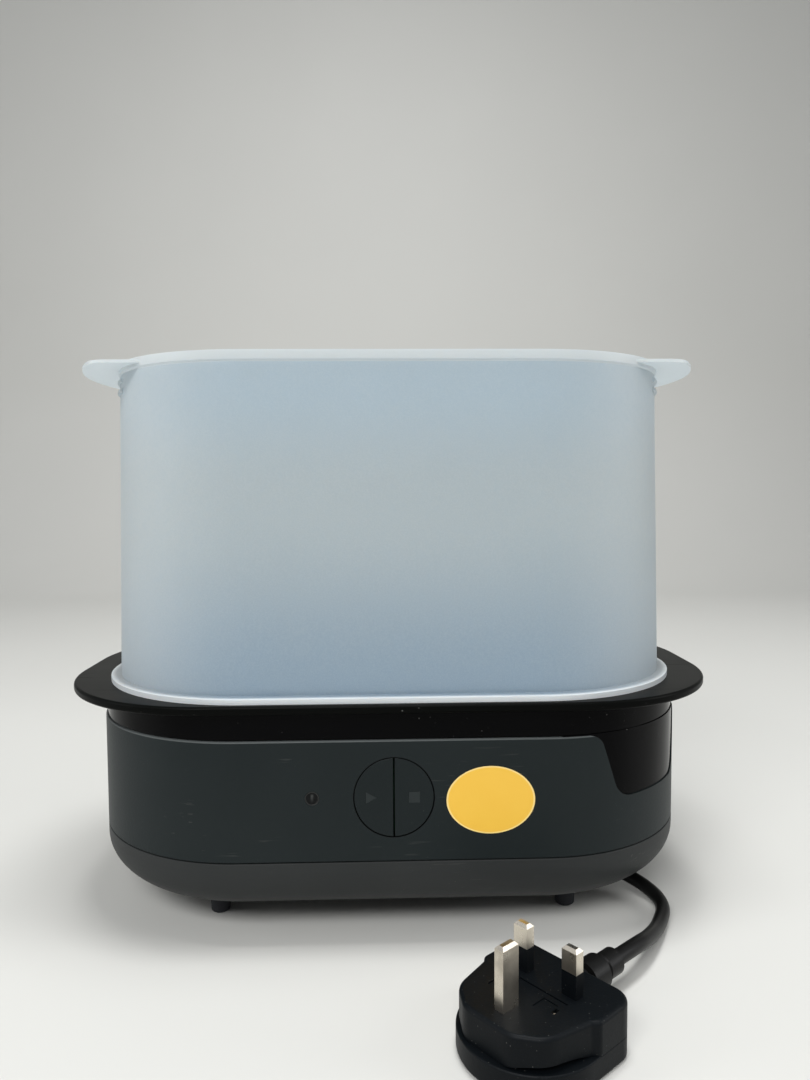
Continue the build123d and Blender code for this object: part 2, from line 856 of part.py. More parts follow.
def reminder_sticker():
    """Thin oval label on the front panel."""
    middle = (sticker_x, -base_half_y, control_z - sticker_drop)
    face = Plane(origin=middle, x_dir=(1, 0, 0), z_dir=(0, -1, 0))
    return extrude(face * Ellipse(sticker_half_x, sticker_half_z), amount=sticker_thickness)


# ---- Mains entry inside the base ----
def terminal_block():
    """Screw terminal block on the roof of the cord store."""
    x1 = terminal_x + terminal_ways * terminal_pitch
    y1 = terminal_y + terminal_depth
    top_z = roof_z + terminal_height
    body = block(terminal_x, x1, terminal_y, y1, roof_z, top_z)
    y = (terminal_y + y1) / 2
    wire_z = roof_z + terminal_height / 3
    for way in range(terminal_ways):
        x = terminal_x + (way + 0.5) * terminal_pitch
        body -= rod(x, y, terminal_screw, wire_z, top_z)
        body -= across(x, wire_z, terminal_screw, terminal_y, y1)
    return body


def cord_clamp():
    """Moulded saddle that grips the cord's cores where they come up into the base."""
    x0 = clamp_bar_x - clamp_bar_half
    x1 = clamp_bar_x + clamp_bar_half
    y1 = clamp_bar_y + clamp_bar_width
    body = block(x0, x1, clamp_bar_y, y1, roof_z, roof_z + clamp_bar_height)
    body -= across(clamp_bar_x, roof_z, cord_diameter / 2, clamp_bar_y, y1)
    for x, y in saddle_screw_points:
        body -= rod(x, y, shank_bore, roof_z, roof_z + clamp_bar_height)
    return body


def clamp_bar_screws():
    top = roof_z + clamp_bar_height
    solids = []
    for x, y in saddle_screw_points:
        shank = rod(x, y, shank_radius, roof_z - screw_bite, top)
        solids.append(shank + rod(x, y, screw_head, top, top + screw_head_height))
    return solids


# ---- Feet and base screws ----
def feet():
    """Tapered rubber feet, each pulled up through its hole by a small head."""
    solids = []
    pad_z = bottom_z - pad_drop
    head_z = bottom_z + pad_rise
    for x, y in mirrored_xy(foot_x, foot_y):
        body = Pos(x, y, pad_z / 2) * Cone(foot_radius - foot_taper, foot_radius, pad_z)
        body = fillet(body.edges().group_by(Axis.Z)[0], foot_round)
        body += rod(x, y, foot_stem, pad_z, head_z)
        solids.append(body + rod(x, y, foot_head, head_z, head_z + foot_head_height))
    return solids


def base_screws():
    tip = post_joint_z + screw_grip - 1
    top = bottom_z + screw_head_height
    return [screw(x, y, top, screw_head_height, tip) for x, y in mirrored_xy(post_x, post_y)]


# ---- Chamber ----
chamber_core_x = well_half_x - well_corner + corner_ease_x
chamber_core_y = well_flat + corner_ease_y
spigot_radius = well_corner - spigot_fit - corner_ease_x
wall_foot_radius = spigot_radius + wall_step
foot_ring_radius = wall_foot_radius + foot_ring_width
wall_top_radius = wall_foot_radius - wall_taper
rim_radius = wall_top_radius + rim_band
wall_low_z = deck_top_z + foot_ring_height
chamber_top_z = deck_top_z + chamber_height
rim_half_x = chamber_core_x + rim_radius
rim_half_y = chamber_core_y + rim_radius


def chamber_section():
    """Foot ring, sloping wall and rim, with the spigot that drops into the well."""
    inner_radius = spigot_radius - spigot_wall
    points = [
        (foot_ring_radius, deck_top_z),
        (foot_ring_radius, wall_low_z),
        (wall_foot_radius, wall_low_z + shoulder_height),
        (wall_top_radius, chamber_top_z - rim_height - rim_band),
        (rim_radius, chamber_top_z - rim_height),
        (rim_radius, chamber_top_z),
        (wall_top_radius - chamber_wall, chamber_top_z),
        (wall_foot_radius - chamber_wall, wall_low_z),
        (inner_radius, wall_low_z - shoulder_height),
        (inner_radius, deck_top_z - spigot_depth),
        (spigot_radius, deck_top_z - spigot_depth),
        (spigot_radius, deck_top_z),
    ]
    return Polygon(*points, align=None)


def ear_outline():
    """The rim's outline with a wide shallow lifting ear blended into each end."""
    lens = Pos(rim_half_x + ear_reach - ear_arc, 0) * Circle(ear_arc)
    lens &= Pos(rim_half_x, 0) * Rectangle(4 * ear_reach, 2 * ear_half)
    lens = fillet(lens.vertices().sort_by(Axis.X)[-2:], ear_round)
    root = ear_root
    plate = RectangleRounded(2 * (rim_half_x - root), 2 * (rim_half_y - root), rim_radius - root)
    plate += lens + mirror(lens, Plane.YZ)
    ends = [v for v in plate.vertices() if abs(abs(v.Y) - ear_half) < 0.01]
    ends.sort(key=lambda v: abs(v.X))
    return fillet(ends[:4], ear_blend)


def chamber():
    body = around(chamber_section(), chamber_core_x, chamber_core_y)
    ear_low_z = chamber_top_z - ear_drop - ear_thickness
    ears = extrude(Pos(0, 0, ear_low_z) * ear_outline(), amount=ear_thickness)
    inner = rim_radius - ear_thickness
    body += ears - slab(
        chamber_core_x + inner, chamber_core_y + inner, inner, deck_top_z, chamber_top_z
    )
    for drop in (bead_low, bead_high):
        share = 1 - drop / (chamber_top_z - wall_low_z)
        radius = wall_foot_radius + share * (wall_top_radius - wall_foot_radius)
        z = chamber_top_z - drop
        ring = around(Pos(radius, z) * Circle(bead_radius), chamber_core_x, chamber_core_y)
        far = rim_half_x + ear_reach
        body += ring & block(-far, far, -bead_half, bead_half, z - bead_radius, z + bead_radius)
    return body


# ---- Bottle rack ----
rack_floor_z = well_floor_z + rack_leg_height
rack_top_z = rack_floor_z + rack_depth
grip_top_z = rack_top_z + grip_height


def bottle_rack():
    """Slotted tray with a low wall, legs and two end grips, standing on the well's floor."""
    corner = spigot_radius - spigot_wall - rack_fit
    half_x = chamber_core_x + corner
    half_y = chamber_core_y + corner
    body = slab(half_x, half_y, corner, rack_floor_z, rack_top_z)
    for side in (-1, 1):
        edge = side * half_x
        back = side * (half_x - rack_corner_depth)
        body += block(
            min(edge, back), max(edge, back), -grip_half, grip_half, rack_floor_z, grip_top_z
        )
    w = rack_wall
    hollow_z = rack_floor_z + rack_thickness
    body -= slab(half_x - w, half_y - w, corner - w, hollow_z, grip_top_z)
    for x, y in mirrored_xy(half_x - rack_leg_inset_x, half_y - rack_leg_inset_y):
        middle = Pos(x, y, well_floor_z + rack_leg_height / 2)
        body += middle * Cone(rack_leg - rack_leg_taper, rack_leg, rack_leg_height)
    slot = extrude(SlotOverall(slot_length, slot_width), amount=rack_thickness)
    columns = int((half_x - slot_margin_x - slot_length / 2) / slot_pitch_x)
    rows = int((half_y - slot_margin_y - slot_width / 2) / slot_pitch_y)
    for column in range(-columns, columns + 1):
        for row in range(-rows, rows + 1):
            body -= Pos(column * slot_pitch_x, row * slot_pitch_y, rack_floor_z) * slot
    return body


# ---- Cord: a stretch stored round the hub and a free stretch to the plug ----
def winding_path():
    """Out of the grommet, round the bend and on to half turns that open out by one pitch."""
    x0 = entry_wall_x + grommet_length
    edges = [Line((x0, entry_bend), (entry_centre, entry_bend))]
    edges.append(CenterArc((entry_centre, 0), entry_bend, 90, -90))
    x = first_turn
    for half in range(2 * cord_turns):
        side = 1 if half % 2 == 0 else -1
        radius = abs(x) + cord_pitch / 4
        centre_x = x - side * radius
        edges.append(CenterArc((centre_x, 0), radius, 0 if side > 0 else 180, -180))
        x = centre_x - side * radius
    edges.append(Line((x, 0), (x, -cord_diameter)))
    return Wire(edges)


def cord_points():
    """Corners of the free cord's route: along the channel, down to the counter, to the plug."""
    far = plug_tail + relief_length + relief_run
    places = [store_frame * Pos(last_turn, -cord_diameter, store_z)]
    places.append(store_frame * Pos(last_turn, -cord_diameter - cord_straight, store_z))
    places += [Pos(*corner) for corner in cord_corners]
    places.append(plug_frame * Pos(far, 0, relief_z))
    places.append(plug_frame * Pos(far - relief_run, 0, relief_z))
    return [tuple(place.position) for place in places]


def cord_bends(points):
    """A radius for each corner, as large as the shorter of its two runs allows."""
    radii = []
    for i in range(1, len(points) - 1):
        before = Vector(points[i]) - Vector(points[i - 1])
        after = Vector(points[i + 1]) - Vector(points[i])
        half_turn = radians(before.get_angle(after)) / 2
        radii.append(bend_share * min(before.length, after.length) / tan(half_turn))
    return radii


def cord_path():
    points = cord_points()
    return Wire(FilletPolyline(*points, radius=cord_bends(points)).edges())


def tube(path):
    start = Plane(origin=path @ 0, z_dir=path % 0)
    return sweep(start * Circle(cord_diameter / 2), path=path)


def least_gap(path):
    """Least gap between turns of the winding, measured between points along it."""
    count = round(path.length / 2)
    points = [path @ (i / count) for i in range(count + 1)]
    skip = round(entry_bend)
    spans = [(p - q).length for i, p in enumerate(points) for q in points[i + skip :]]
    return min(spans) - cord_diameter


# ---- Plug ----
plug_frame = Location((plug_x, plug_y, 0), (0, 0, plug_turn))
carrier_top_z = plug_face_z - carrier_sink
carrier_low_z = carrier_top_z - carrier_depth
fuse_link_z = carrier_low_z + fuse_link_cover + fuse_link_radius
sleeve_top_z = plug_face_z + sleeve_length


def plug_outline():
    """Seen on the pins' side: a narrow round front and square shoulders at the cord."""
    corners = [*plug_outline_points, (plug_tail, plug_half)]
    mirrored = [(u, -v) for u, v in corners]
    shape = Polygon(*mirrored, *reversed(corners), align=None)
    for (u, v), radius in zip(corners, [*plug_outline_radii, plug_tail_round]):
        pair = [p for p in shape.vertices() if abs(p.X - u) + abs(abs(p.Y) - v) < 0.01]
        shape = fillet(pair, radius)
    return shape


def cover_outline():
    """A round end to grip by, as wide as the square shoulders."""
    centre = plug_half - grip_reach
    straight = Pos((centre + plug_tail) / 2, 0) * Rectangle(plug_tail - centre, 2 * plug_half)
    straight = fillet(straight.vertices().sort_by(Axis.X)[-2:], plug_tail_round)
    round_half = Circle(plug_half) & Pos(-plug_half / 2, 0) * Rectangle(plug_half, 2 * plug_half)
    return straight + Pos(centre, 0) * round_half


def centred_prism(u, v, size_u, size_v, low, high):
    return block(u - size_u / 2, u + size_u / 2, v - size_v / 2, v + size_v / 2, low, high)


def finger_slit(side):
    """Arched slit between the face block and the cover, on the given side."""
    du, dv = slit_back[0] - slit_front[0], slit_back[1] - slit_front[1]
    run = hypot(du, dv) / 2
    radius = (run**2 + slit_height**2) / (2 * slit_height)
    u, v = slit_front[0] + du / 2, slit_front[1] + dv / 2
    middle = Pos(u, side * v, cover_height + slit_height - radius)
    outward = middle * Rot(0, 0, side * degrees(atan2(dv, du))) * Pos(0, side * run / 2, 0)
    arch = outward * Rot(90, 0, 0) * Cylinder(radius, 2 * run)
    return arch - rod(plug_half - grip_reach, 0, slit_neck, -radius, plug_face_z)


def plug_body():
    """Face block with a finger slit each side and a pocket for the fuse carrier."""
    body = extrude(Pos(0, 0, cover_height) * plug_outline(), amount=plug_face_z - cover_height)
    body = fillet(body.edges().group_by(Axis.Z)[-1], plug_face_round)
    for side in (-1, 1):
        body -= finger_slit(side)
    gap = 2 * carrier_fit
    body -= centred_prism(
        carrier_u, 0, 2 * carrier_half_u + gap, 2 * carrier_half_v + gap, carrier_low_z, plug_face_z
    )
    root_z = plug_face_z - pin_root
    body -= centred_prism(0, 0, earth_wide, pin_thick, root_z, plug_face_z)
    for v in (-pin_pitch / 2, pin_pitch / 2):
        body -= centred_prism(pin_pitch, v, pin_thick, live_wide, root_z, plug_face_z)
    return plug_frame * body


def plug_pin(u, v, size_u, size_v, length):
    """Flat-sided brass pin with a chamfered tip, rooted in the face block."""
    body = centred_prism(u, v, size_u, size_v, plug_face_z - pin_root, plug_face_z + length)
    return chamfer(body.edges().group_by(Axis.Z)[-1], pin_chamfer)


def earth_pin():
    return plug_frame * plug_pin(0, 0, earth_wide, pin_thick, earth_length)


def sleeve(v):
    """Insulating skin round the root of a current pin, flush with the bare end."""
    full = centred_prism(pin_pitch, v, pin_thick, live_wide, plug_face_z, sleeve_top_z)
    thick = pin_thick - 2 * sleeve_skin
    wide = live_wide - 2 * sleeve_skin
    return full - centred_prism(pin_pitch, v, thick, wide, plug_face_z, sleeve_top_z)


def current_pin(v):
    return plug_frame * (plug_pin(pin_pitch, v, pin_thick, live_wide, live_length) - sleeve(v))


def pin_sleeves():
    return [plug_frame * sleeve(v) for v in (-pin_pitch / 2, pin_pitch / 2)]


def plug_cover():
    """Back of the plug, which stands out round the earth end as a lip to grip."""
    body = extrude(cover_outline(), amount=cover_height)
    body = fillet(body.edges().group_by(Axis.Z)[0], plug_cover_round)
    return plug_frame * fillet(body.edges().group_by(Axis.Z)[-1], grip_round)


def fuse_link():
    place = Pos(carrier_u, 0, fuse_link_z) * Rot(90, 0, 0)
    return place * Cylinder(fuse_link_radius, fuse_link_length)


def fuse_carrier():
    """Drawer for the fuse, let into the plug's face with a slot to lever it out by."""
    body = centred_prism(
        carrier_u, 0, 2 * carrier_half_u, 2 * carrier_half_v, carrier_low_z, carrier_top_z
    )
    body -= fuse_link()
    mouth = 2 * fuse_link_radius
    body -= centred_prism(carrier_u, 0, mouth, fuse_link_length, carrier_low_z, fuse_link_z)
    v = carrier_half_v - lever_depth / 2
    low = carrier_top_z - lever_depth
    body -= centred_prism(carrier_u, -v, lever_width, lever_depth, low, carrier_top_z)
    low = carrier_top_z - label_depth
    body -= centred_prism(carrier_u, label_v, 2 * label_half, 2 * label_half, low, carrier_top_z)
    return plug_frame * body


def plug_fuse():
    return plug_frame * fuse_link()


def plug_strain_relief():
    """Sleeve round the cord: two broad bands and a slimmer end, with a groove before each."""
    points = [(0, 0)]
    for start, end, radius in relief_bands:
        points += [(start, relief_root), (start + relief_chamfer, radius)]
        points += [(end - relief_chamfer, radius), (end, relief_root)]
    points.append((relief_length, 0))
    section = Plane(origin=(plug_tail, 0, relief_z), x_dir=(1, 0, 0), z_dir=(0, -1, 0))
    body = section * Polygon(*points, align=None)
    return plug_frame * revolve(body, Axis((plug_tail, 0, relief_z), (1, 0, 0)), 360)


nodes = {
    "lower_shell": lower_shell(),
    "upper_shell": upper_shell(),
    "gloss_collar": gloss_collar(),
    "top_deck": top_deck(),
    "heating_plate": heating_plate(),
    "plate_seal": plate_seal(),
    "heat_spreader": heat_spreader(),
    "heating_element": heating_element(),
    "plate_clamp": plate_clamp(),
    "clamp_screws": clamp_screws(),
    "thermostat": thermostat(),
    "thermal_fuse": thermal_fuse(),
    "fuse_clip": fuse_clip(),
    "start_button": button(-1),
    "start_plunger": plunger(-1),
    "start_switch": switch(-1),
    "stop_button": button(1),
    "stop_plunger": plunger(1),
    "stop_switch": switch(1),
    "control_board": control_board(),
    "board_screws": board_screws(),
    "indicator_lens": indicator_lens(),
    "indicator_led": indicator_led(),
    "relay": relay(),
    "capacitor": capacitor(),
    "transformer": transformer(),
    "reminder_sticker": reminder_sticker(),
    "terminal_block": terminal_block(),
    "cord_clamp": cord_clamp(),
    "cord_clamp_screws": clamp_bar_screws(),
    "feet": feet(),
    "base_screws": base_screws(),
    "chamber": chamber(),
    "bottle_rack": bottle_rack(),
    "cord_grommet": cord_grommet(),
    "cord_winding": tube(store_frame * Pos(0, 0, store_z) * winding_path()),
    "cord": tube(cord_path()),
    "plug_body": plug_body(),
    "plug_cover": plug_cover(),
    "earth_pin": earth_pin(),
    "line_pin": current_pin(-pin_pitch / 2),
    "neutral_pin": current_pin(pin_pitch / 2),
    "pin_sleeves": pin_sleeves(),
    "fuse_carrier": fuse_carrier(),
    "plug_fuse": plug_fuse(),
    "plug_strain_relief": plug_strain_relief(),
}

# ---- Write ----
os.makedirs("parts", exist_ok=True)
for name, solid in nodes.items():
    whole = Compound(children=solid) if isinstance(solid, list) else solid
    export_step(whole, f"parts/{name}.step")

cord_section = pi * (cord_diameter / 2) ** 2
routes = {"cord": cord_path(), "cord_winding": winding_path()}
for name, path in routes.items():
    by_volume = nodes[name].volume / cord_section
    print(name, "length", round(path.length, 1), "by volume", round(by_volume, 1))
print("cord bend radii", [round(radius, 1) for radius in cord_bends(cord_points())])
print("cord_winding least gap to itself", round(least_gap(winding_path()), 2))
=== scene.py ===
import json
from math import cos, pi, radians, sin

import bpy
from mathutils import Matrix, Vector

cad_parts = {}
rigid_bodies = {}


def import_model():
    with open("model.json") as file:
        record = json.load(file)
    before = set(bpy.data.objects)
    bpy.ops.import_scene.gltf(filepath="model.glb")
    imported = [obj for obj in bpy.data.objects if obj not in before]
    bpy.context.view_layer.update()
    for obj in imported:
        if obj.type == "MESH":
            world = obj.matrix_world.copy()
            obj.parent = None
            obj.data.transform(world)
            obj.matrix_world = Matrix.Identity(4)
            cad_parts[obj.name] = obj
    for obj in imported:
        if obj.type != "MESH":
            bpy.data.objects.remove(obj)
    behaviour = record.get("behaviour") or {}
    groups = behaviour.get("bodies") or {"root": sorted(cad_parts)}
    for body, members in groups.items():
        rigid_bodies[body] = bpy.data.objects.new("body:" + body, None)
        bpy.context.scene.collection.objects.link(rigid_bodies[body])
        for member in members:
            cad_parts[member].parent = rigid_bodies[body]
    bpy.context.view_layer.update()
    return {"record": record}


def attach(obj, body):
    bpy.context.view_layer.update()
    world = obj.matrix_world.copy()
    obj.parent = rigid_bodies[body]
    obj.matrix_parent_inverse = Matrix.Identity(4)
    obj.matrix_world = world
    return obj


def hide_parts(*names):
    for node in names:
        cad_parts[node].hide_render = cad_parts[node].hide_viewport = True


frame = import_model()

MM = 0.001


# ---- Camera ----
def make_camera():
    """Phone held low in front of the base, a little to its left and looking slightly down."""
    yaw, pitch, roll = -0.0288, 0.0575, -0.0059
    ahead = Vector((-sin(yaw) * cos(pitch), cos(yaw) * cos(pitch), -sin(pitch)))
    level = Vector((cos(yaw), sin(yaw), 0))
    upright = level.cross(ahead)
    right = level * cos(roll) + upright * sin(roll)
    up = upright * cos(roll) - level * sin(roll)
    data = bpy.data.cameras.new("camera")
    data.lens = 27.03
    data.sensor_width = 36.0
    data.sensor_fit = "AUTO"
    data.clip_start = 0.01
    camera = bpy.data.objects.new("camera", data)
    bpy.context.collection.objects.link(camera)
    axes = Matrix((right, up, -ahead)).transposed().to_4x4()
    camera.matrix_world = Matrix.Translation(Vector((-4.51, -430.78, 198.21)) * MM) @ axes
    bpy.context.scene.camera = camera


make_camera()


# ---- Shader maths ----
class Value:
    """One output of a shader node. Arithmetic on it adds Math nodes to its material."""

    def __init__(self, finish, socket):
        self.finish, self.socket = finish, socket

    def maths(self, operation, *inputs, clamp=False):
        settings = {"operation": operation, "use_clamp": clamp}
        return self.finish.node("ShaderNodeMath", settings, dict(enumerate(inputs)))

    def __add__(self, other):
        return self.maths("ADD", self, other)

    def __radd__(self, other):
        return self.maths("ADD", other, self)

    def __sub__(self, other):
        return self.maths("SUBTRACT", self, other)

    def __rsub__(self, other):
        return self.maths("SUBTRACT", other, self)

    def __mul__(self, other):
        return self.maths("MULTIPLY", self, other)

    def __rmul__(self, other):
        return self.maths("MULTIPLY", other, self)

    def __truediv__(self, other):
        return self.maths("DIVIDE", self, other)

    def __pow__(self, other):
        return self.maths("POWER", self, other)

    def __abs__(self):
        return self.maths("ABSOLUTE", self)

    def step(self, low, high):
        """0 below low, 1 above high and smooth between; low may be the larger."""
        settings = {"interpolation_type": "SMOOTHSTEP"}
        return self.finish.node("ShaderNodeMapRange", settings, {0: self, 1: low, 2: high}, 0)


class Nodes:
    """A node tree in the making."""

    def __init__(self, tree):
        self.tree = tree
        tree.nodes.clear()

    def node(self, kind, settings=(), inputs=(), out=0):
        """Add a node: its settings first, then values or links of its sockets."""
        node = self.tree.nodes.new(kind)
        for key, value in dict(settings).items():
            if key == "stops":
                fill_ramp(node.color_ramp, value)
            else:
                setattr(node, key, value)
        for key, value in dict(inputs).items():
            if isinstance(value, Value):
                self.tree.links.new(value.socket, node.inputs[key])
            else:
                node.inputs[key].default_value = value
        return Value(self, node.outputs[out]) if node.outputs else None


class Finish(Nodes):
    """A material in the making."""

    def __init__(self, name):
        self.material = bpy.data.materials.new(name)
        self.material.use_nodes = True
        super().__init__(self.material.node_tree)
        self.place = self.node("ShaderNodeTexCoord", out="Object")

    def noise(self, scale, detail=2.0, rough=0.5, at=None):
        inputs = {"Vector": at or self.place, "Scale": scale, "Detail": detail, "Roughness": rough}
        return self.node("ShaderNodeTexNoise", (), inputs)

    def cells(self, scale, out="Distance", at=None):
        inputs = {"Vector": at or self.place, "Scale": scale}
        return self.node("ShaderNodeTexVoronoi", (), inputs, out)

    def axes(self):
        """The three coordinates of the place, in metres at rest."""
        node = self.node("ShaderNodeSeparateXYZ", (), {0: self.place}).socket.node
        return [Value(self, output) for output in node.outputs]

    def stretched(self, x, y, z):
        inputs = {0: self.place, 1: (x, y, z)}
        return self.node("ShaderNodeVectorMath", {"operation": "MULTIPLY"}, inputs)

    def blend(self, share, first, second):
        """Mix two colours; share 0 is the first."""
        inputs = {0: share, 6: first, 7: second}
        return self.node("ShaderNodeMix", {"data_type": "RGBA"}, inputs, 2)

    def bump(self, height, depth, strength=1.0):
        """Raise the surface by height times depth, in metres."""
        inputs = {"Height": height, "Distance": depth, "Strength": strength}
        return self.node("ShaderNodeBump", (), inputs)

    def shader(self, kind="ShaderNodeBsdfPrincipled", **sockets):
        named = {key.replace("_", " "): value for key, value in sockets.items()}
        return self.node(kind, (), named)

    def done(self, shader):
        self.node("ShaderNodeOutputMaterial", (), {"Surface": shader})
        return self.material


def fill_ramp(ramp, stops):
    while len(ramp.elements) < len(stops):
        ramp.elements.new(1.0)
    for element, (position, colour) in zip(ramp.elements, stops):
        element.position = position
        element.color = colour


def paint(red, green, blue):
    """A colour as it looks on a screen, 0 to 255, to the light it returns."""
    screen = [channel / 255 for channel in (red, green, blue)]
    linear = [c / 12.92 if c < 0.04045 else ((c + 0.055) / 1.055) ** 2.4 for c in screen]
    return (*linear, 1.0)


# ---- Finishes ----
# Places on the part that its finishes follow, in its own frame.
SIGN_Z = 67.0 * MM
PLAY_X = -12.2 * MM
PLAY_HALF = 2.6 * MM
STOP_X = 8.8 * MM
STOP_HALF = 2.4 * MM
LENS_X = -35.4 * MM
LABEL_X, LABEL_Z = 42.0 * MM, 65.3 * MM
LABEL_HALF_X, LABEL_HALF_Z = 19.3 * MM, 14.9 * MM
FOOT_RING_TOP = 111.0 * MM
RIM_BOTTOM = 255.5 * MM
PANEL_TOP = 92.1 * MM
BUTTON_RADIUS = 17.2 * MM
PANEL_RADIUS = 17.65 * MM
GAP_HALF = 0.35 * MM


def dust(finish, scale, amount):
    """Sparse pale specks, more of them where a slow noise is high."""
    specks = finish.cells(scale).step(0.16, 0.05)
    patches = finish.noise(28, 3).step(0.62 - amount, 0.85 - amount)
    return specks * patches * finish.noise(scale * 0.7, 1).step(0.5, 0.62)


def scratches(finish):
    """Thin level scratches, gathered in a few patches."""
    hairs = finish.noise(800, 2, at=finish.stretched(0.06, 0.6, 1)).step(0.65, 0.71)
    return hairs * finish.noise(26, 2).step(0.5, 0.66)


def moulded(
    name,
    colour,
    worn,
    rough,
    grain=900,
    specks=0.1,
    sheen=0.12,
    scuffs=0.0,
    marks=None,
    painted_highlight_edge=None,
):
    """Spark-eroded plastic: fine grain, slow changes of tone and a little dust; where asked, a
    painted shadow line round the buttons and a painted highlight along the top edge.
    """
    finish = Finish(name)
    tone = finish.noise(14, 4)
    body = finish.blend(tone.step(0.35, 0.7) * 0.55, colour, worn)
    if marks:
        signs = marks(finish)
        body = finish.blend(signs * 0.25, body, paint(74, 79, 79))
    flecks = dust(finish, 640, specks)
    hairs = scratches(finish)
    shade = finish.blend(flecks * 0.45 + hairs * scuffs, body, paint(118, 118, 114))
    if marks or painted_highlight_edge:
        shade = finish.blend(button_gap(finish) * 0.9, shade, paint(3, 4, 4))
    fine = finish.noise(grain, 2)
    relief = fine + flecks * 1.5
    dull = rough + fine * 0.08 + tone * 0.06
    if marks:
        relief = relief - signs * 6.0
    if painted_highlight_edge:
        # Painted highlight: a paler, glossier strip within 0.8 mm below the given height stands in
        # for light caught by the panel's top edge.
        height = finish.axes()[2]
        painted_highlight = height.step(painted_highlight_edge - 0.8 * MM, painted_highlight_edge - 0.3 * MM)
        shade = finish.blend(painted_highlight * 0.5, shade, paint(120, 125, 125))
        dull = dull - painted_highlight * 0.16
    return finish.done(
        finish.shader(
            Base_Color=shade,
            Roughness=dull,
            Specular_IOR_Level=sheen,
            Normal=finish.bump(relief, 0.00004),
        )
    )


def button_gap(finish):
    """Shadow line round the two half-round buttons and between them."""
    x, y, z = finish.axes()
    reach = (x**2 + (z - SIGN_Z) ** 2) ** 0.5
    soft = 0.15 * MM
    within = reach.step(PANEL_RADIUS + soft, PANEL_RADIUS)
    ring = reach.step(BUTTON_RADIUS - soft, BUTTON_RADIUS) * within
    split = abs(x).step(GAP_HALF + soft, GAP_HALF) * within
    front_only = y.step(-70.0 * MM, -75.0 * MM)
    return (ring + split) * front_only


def button_signs(finish):
    """Play triangle on the left half of the button, stop square on the right half."""
    x, y, z = finish.axes()
    soft = 0.12 * MM
    height = abs(z - SIGN_Z)
    square = (abs(x - STOP_X) - STOP_HALF).step(soft, -soft)
    square = square * (height - STOP_HALF).step(soft, -soft)
    slope = (x - PLAY_X) * 0.55 + height
    triangle = (slope - PLAY_HALF).step(soft, -soft) * (x - PLAY_X).step(-soft, soft)
    return square + triangle


def polished(name, colour, rough, sheen, scuffs=0.5):
    """Gloss moulding with faint ripples, hair scratches and a few specks of dust."""
    finish = Finish(name)
    across = finish.noise(60, 3, at=finish.stretched(0.25, 1, 5))
    hairs = finish.noise(700, 2, at=finish.stretched(0.03, 0.6, 1)).step(0.66, 0.72)
    flecks = dust(finish, 380, 0.12)
    shade = finish.blend(flecks * 0.6, colour, paint(170, 170, 166))
    return finish.done(
        finish.shader(
            Base_Color=shade,
            Roughness=rough + hairs * 0.16 * scuffs + across * 0.05 + flecks * 0.4,
            Specular_IOR_Level=sheen,
            Normal=finish.bump(finish.noise(22, 2), 0.0002, 0.25),
        )
    )


def frosted():
    """Milky polypropylene with fine frosted speckle. Painted shade makes it cooler and darker
    towards its foot; painted light brightens its sides, rim band and foot ring, with a painted
    highlight line under the rim.
    """
    finish = Finish("frosted_polypropylene")
    x, y, z = finish.axes()
    # Painted shade by height: bluer near the top, darker and cooler towards the foot, where the
    # dark deck shows through the wall.
    body = finish.blend(z.step(0.2, 0.245) * 0.7, paint(190, 199, 201), paint(184, 204, 217))
    body = finish.blend(z.step(0.19, 0.114), body, paint(146, 168, 186))
    # Painted light: paler towards the left and right sides, where the wall glows.
    body = finish.blend(abs(x).step(0.06, 0.14) * 0.65, body, paint(220, 222, 219))
    body = finish.blend(abs(x).step(0.122, 0.146) * 0.5, body, paint(238, 239, 236))
    speckle = finish.noise(1400, 3, 0.7)
    mottle = finish.noise(420, 3, 0.6)
    clouds = finish.noise(30, 5, 0.6)
    body = finish.blend(speckle.step(0.35, 0.7) * 0.22, body, paint(226, 230, 230))
    body = finish.blend(mottle.step(0.42, 0.7) * 0.16, body, paint(176, 194, 204))
    body = finish.blend(clouds.step(0.4, 0.75) * 0.12, body, paint(165, 180, 188))
    # Painted light: a paler rim band and a paler foot ring whose glow is put in their colour; a
    # painted highlight line runs along the rim's lower edge.
    rim = z.step(RIM_BOTTOM - 1.2 * MM, RIM_BOTTOM - 0.6 * MM)
    painted_highlight_lip = rim * z.step(RIM_BOTTOM + 0.8 * MM, RIM_BOTTOM + 0.2 * MM)
    ring = z.step(FOOT_RING_TOP + 0.4 * MM, FOOT_RING_TOP)
    body = finish.blend(rim * 0.9, body, paint(229, 232, 230))
    body = finish.blend(painted_highlight_lip * 0.8 + ring, body, paint(222, 227, 229))
    surface = finish.shader(
        Base_Color=body,
        Roughness=0.4 + speckle * 0.16 - (rim + ring) * 0.1,
        Normal=finish.bump(speckle + clouds * 0.6, 0.00006),
        Subsurface_Weight=0.25,
        Subsurface_Radius=(0.004, 0.005, 0.006),
    )
    glow = finish.shader("ShaderNodeBsdfTranslucent", Color=paint(223, 230, 235))
    return finish.done(
        finish.node("ShaderNodeMixShader", (), {0: 0.42 - ring * 0.37, 1: surface, 2: glow})
    )


def metal(name, colour, rough, brushed=(1, 1, 30)):
    """Bare metal with drawn strokes and duller stains."""
    finish = Finish(name)
    strokes = finish.noise(160, 3, at=finish.stretched(*brushed))
    stains = finish.noise(120, 3)
    shade = finish.blend(stains.step(0.45, 0.8) * 0.45, colour, paint(112, 104, 92))
    return finish.done(
        finish.shader(
            Base_Color=shade,
            Metallic=1.0,
            Roughness=rough + strokes * 0.2 + stains * 0.12,
            Normal=finish.bump(strokes, 0.00002),
        )
    )


